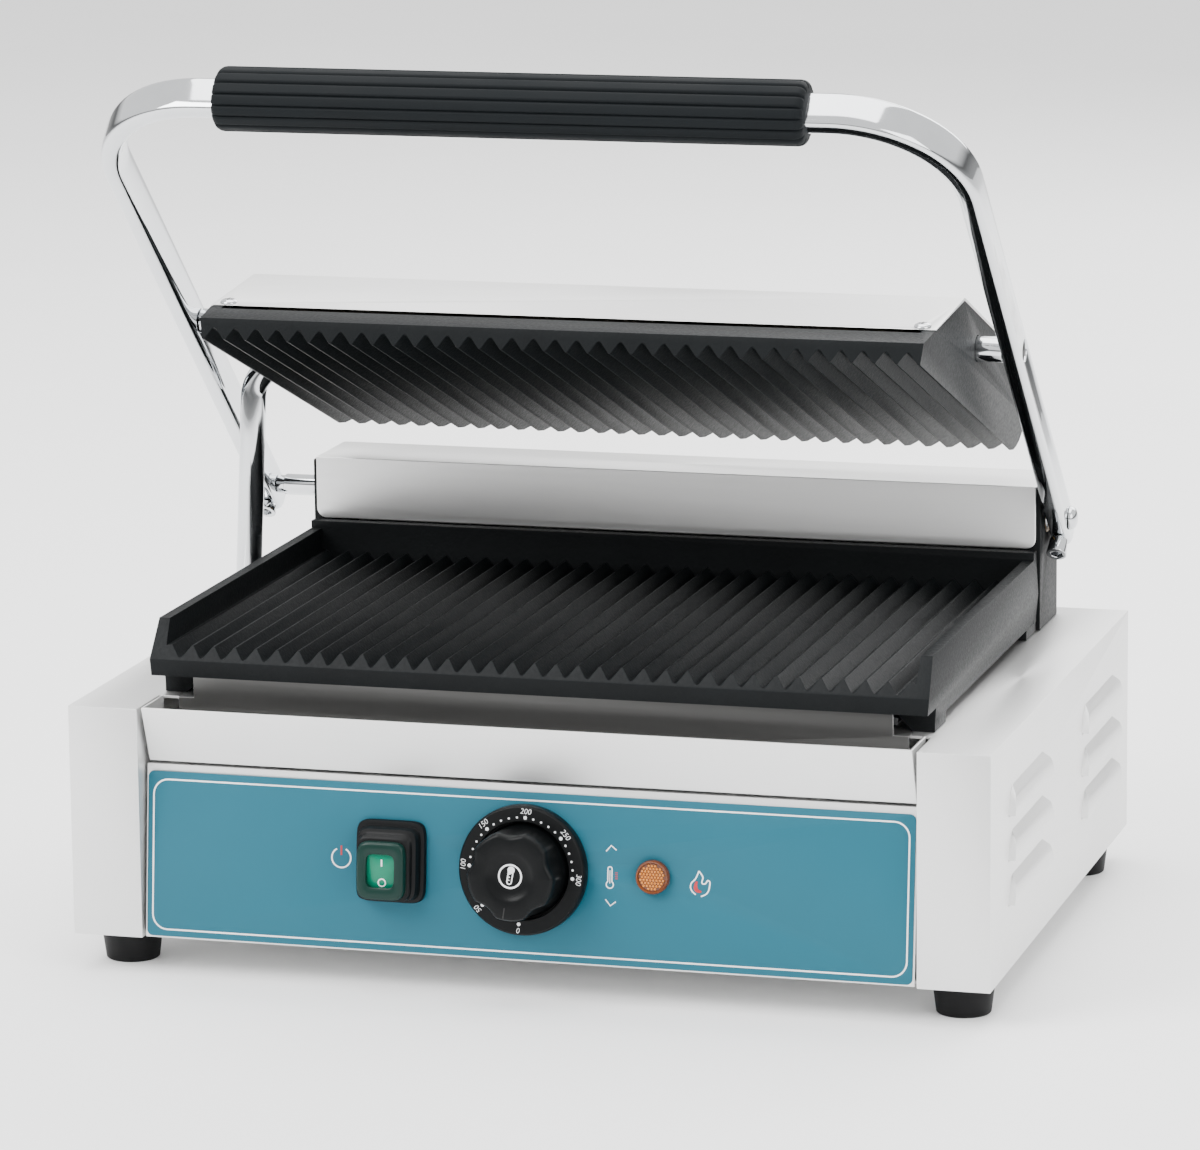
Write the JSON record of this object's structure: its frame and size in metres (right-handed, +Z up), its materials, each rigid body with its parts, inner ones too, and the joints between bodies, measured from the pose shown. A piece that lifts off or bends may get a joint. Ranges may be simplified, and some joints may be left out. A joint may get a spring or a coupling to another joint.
{
  "type": "panini press",
  "caption": "Commercial contact grill: ribbed cast plates, the upper one self-levelling on a tubular bail, stainless housing, slanted control panel with dial, switch and lamp, and a slide-out drip tray.",
  "frame": {"origin": "centre of the underside of the box round the whole grill, on the table between the feet, with the arm open", "axes": "+X to the user's right along the width, +Y to the back, +Z up"},
  "size_m": [0.4396, 0.3494, 0.4141],
  "materials": {
    "stainless": "fine brushed stainless sheet",
    "chrome": "bright polished",
    "cast_plate": "fine sand-cast, seasoned black",
    "heater_sheath": "heat-darkened sheath",
    "plain_steel": "plain zinc-plated steel",
    "bronze": "sintered bronze",
    "insulation": "mineral wool",
    "grip_plastic": "matte, fluted lengthways",
    "rubber": "matte black rubber",
    "bezel_rubber": "soft satin rubber",
    "overlay_blue": "printed satin film",
    "dial_plastic": "fine matte moulding",
    "rocker_green": "glossy, lit from behind when on",
    "boot_green": "see-through splash cap",
    "lamp_amber": "prismatic lens",
    "nylon": "natural nylon"
  },
  "bodies": {
    "base": {"left_side_panel": "stainless", "right_side_panel": "stainless", "deck": "stainless", "back_panel": "stainless", "base_plate": "stainless", "control_panel": "stainless", "panel_overlay": "overlay_blue", "rear_cover": "stainless", "lower_plate": "cast_plate", "lower_heater": "heater_sheath", "lower_heat_shield": "plain_steel", "thermostat_bulb": "bronze", "thermostat_body": "plain_steel", "left_hinge_bracket": "cast_plate", "right_hinge_bracket": "cast_plate", "left_hinge_bush": "bronze", "right_hinge_bush": "bronze", "left_torsion_spring": "plain_steel", "right_torsion_spring": "plain_steel", "conduit_grommet": "rubber", "cord_gland": "dial_plastic", "terminal_block": "nylon", "front_left_foot": "rubber", "front_right_foot": "rubber", "rear_left_foot": "rubber", "rear_right_foot": "rubber", "front_left_foot_screw": "plain_steel", "front_right_foot_screw": "plain_steel", "rear_left_foot_screw": "plain_steel", "rear_right_foot_screw": "plain_steel", "dial_ring": "dial_plastic", "switch_bezel": "bezel_rubber", "switch_body": "dial_plastic", "switch_boot": "boot_green", "lamp_lens": "lamp_amber", "lamp_body": "nylon"},
    "arm": {"bail": "chrome", "grip": "grip_plastic", "hinge_axle": "chrome", "left_hinge_bolt": "chrome", "right_hinge_bolt": "chrome", "left_stop_screw": "chrome", "right_stop_screw": "chrome", "left_pivot_pin": "chrome", "right_pivot_pin": "chrome"},
    "upper": {"upper_plate": "cast_plate", "upper_cover": "stainless", "left_cover_screw": "chrome", "right_cover_screw": "chrome", "upper_heater": "heater_sheath", "upper_insulation": "insulation", "conduit_tube": "chrome", "conduit_nut": "chrome"},
    "tray": {"drip_tray": "stainless"},
    "dial": {"knob": "dial_plastic", "thermostat_shaft": "plain_steel"},
    "rocker": {"switch_rocker": "rocker_green"}
  },
  "joints": [
    {"name": "arm_hinge", "type": "hinge", "parent": "base", "child": "arm", "pos_m": [0, 0.12444, 0.1763], "axis": [1, 0, 0], "range_deg": [0, 42.05]},
    {"name": "plate_pivot", "type": "hinge", "parent": "arm", "child": "upper", "pos_m": [0, 0.01839, 0.27519], "axis": [1, 0, 0], "range_deg": [-21.41, 0]},
    {"name": "tray_slide", "type": "slide", "parent": "base", "child": "tray", "axis": [0, -1, 0], "range_m": [0, 0.06]},
    {"name": "knob_turn", "type": "hinge", "parent": "base", "child": "dial", "pos_m": [0.00183, -0.14686, 0.05929], "axis": [0, 0.995, -0.0995], "range_deg": [0, 270]},
    {"name": "rocker_tilt", "type": "hinge", "parent": "base", "child": "rocker", "pos_m": [-0.06087, -0.14948, 0.05724], "axis": [-1, 0, 0], "range_deg": [0, 10]}
  ],
  "couplings": [
    {"joint": "plate_pivot", "follows": "arm_hinge", "ratio": -0.50894}
  ]
}
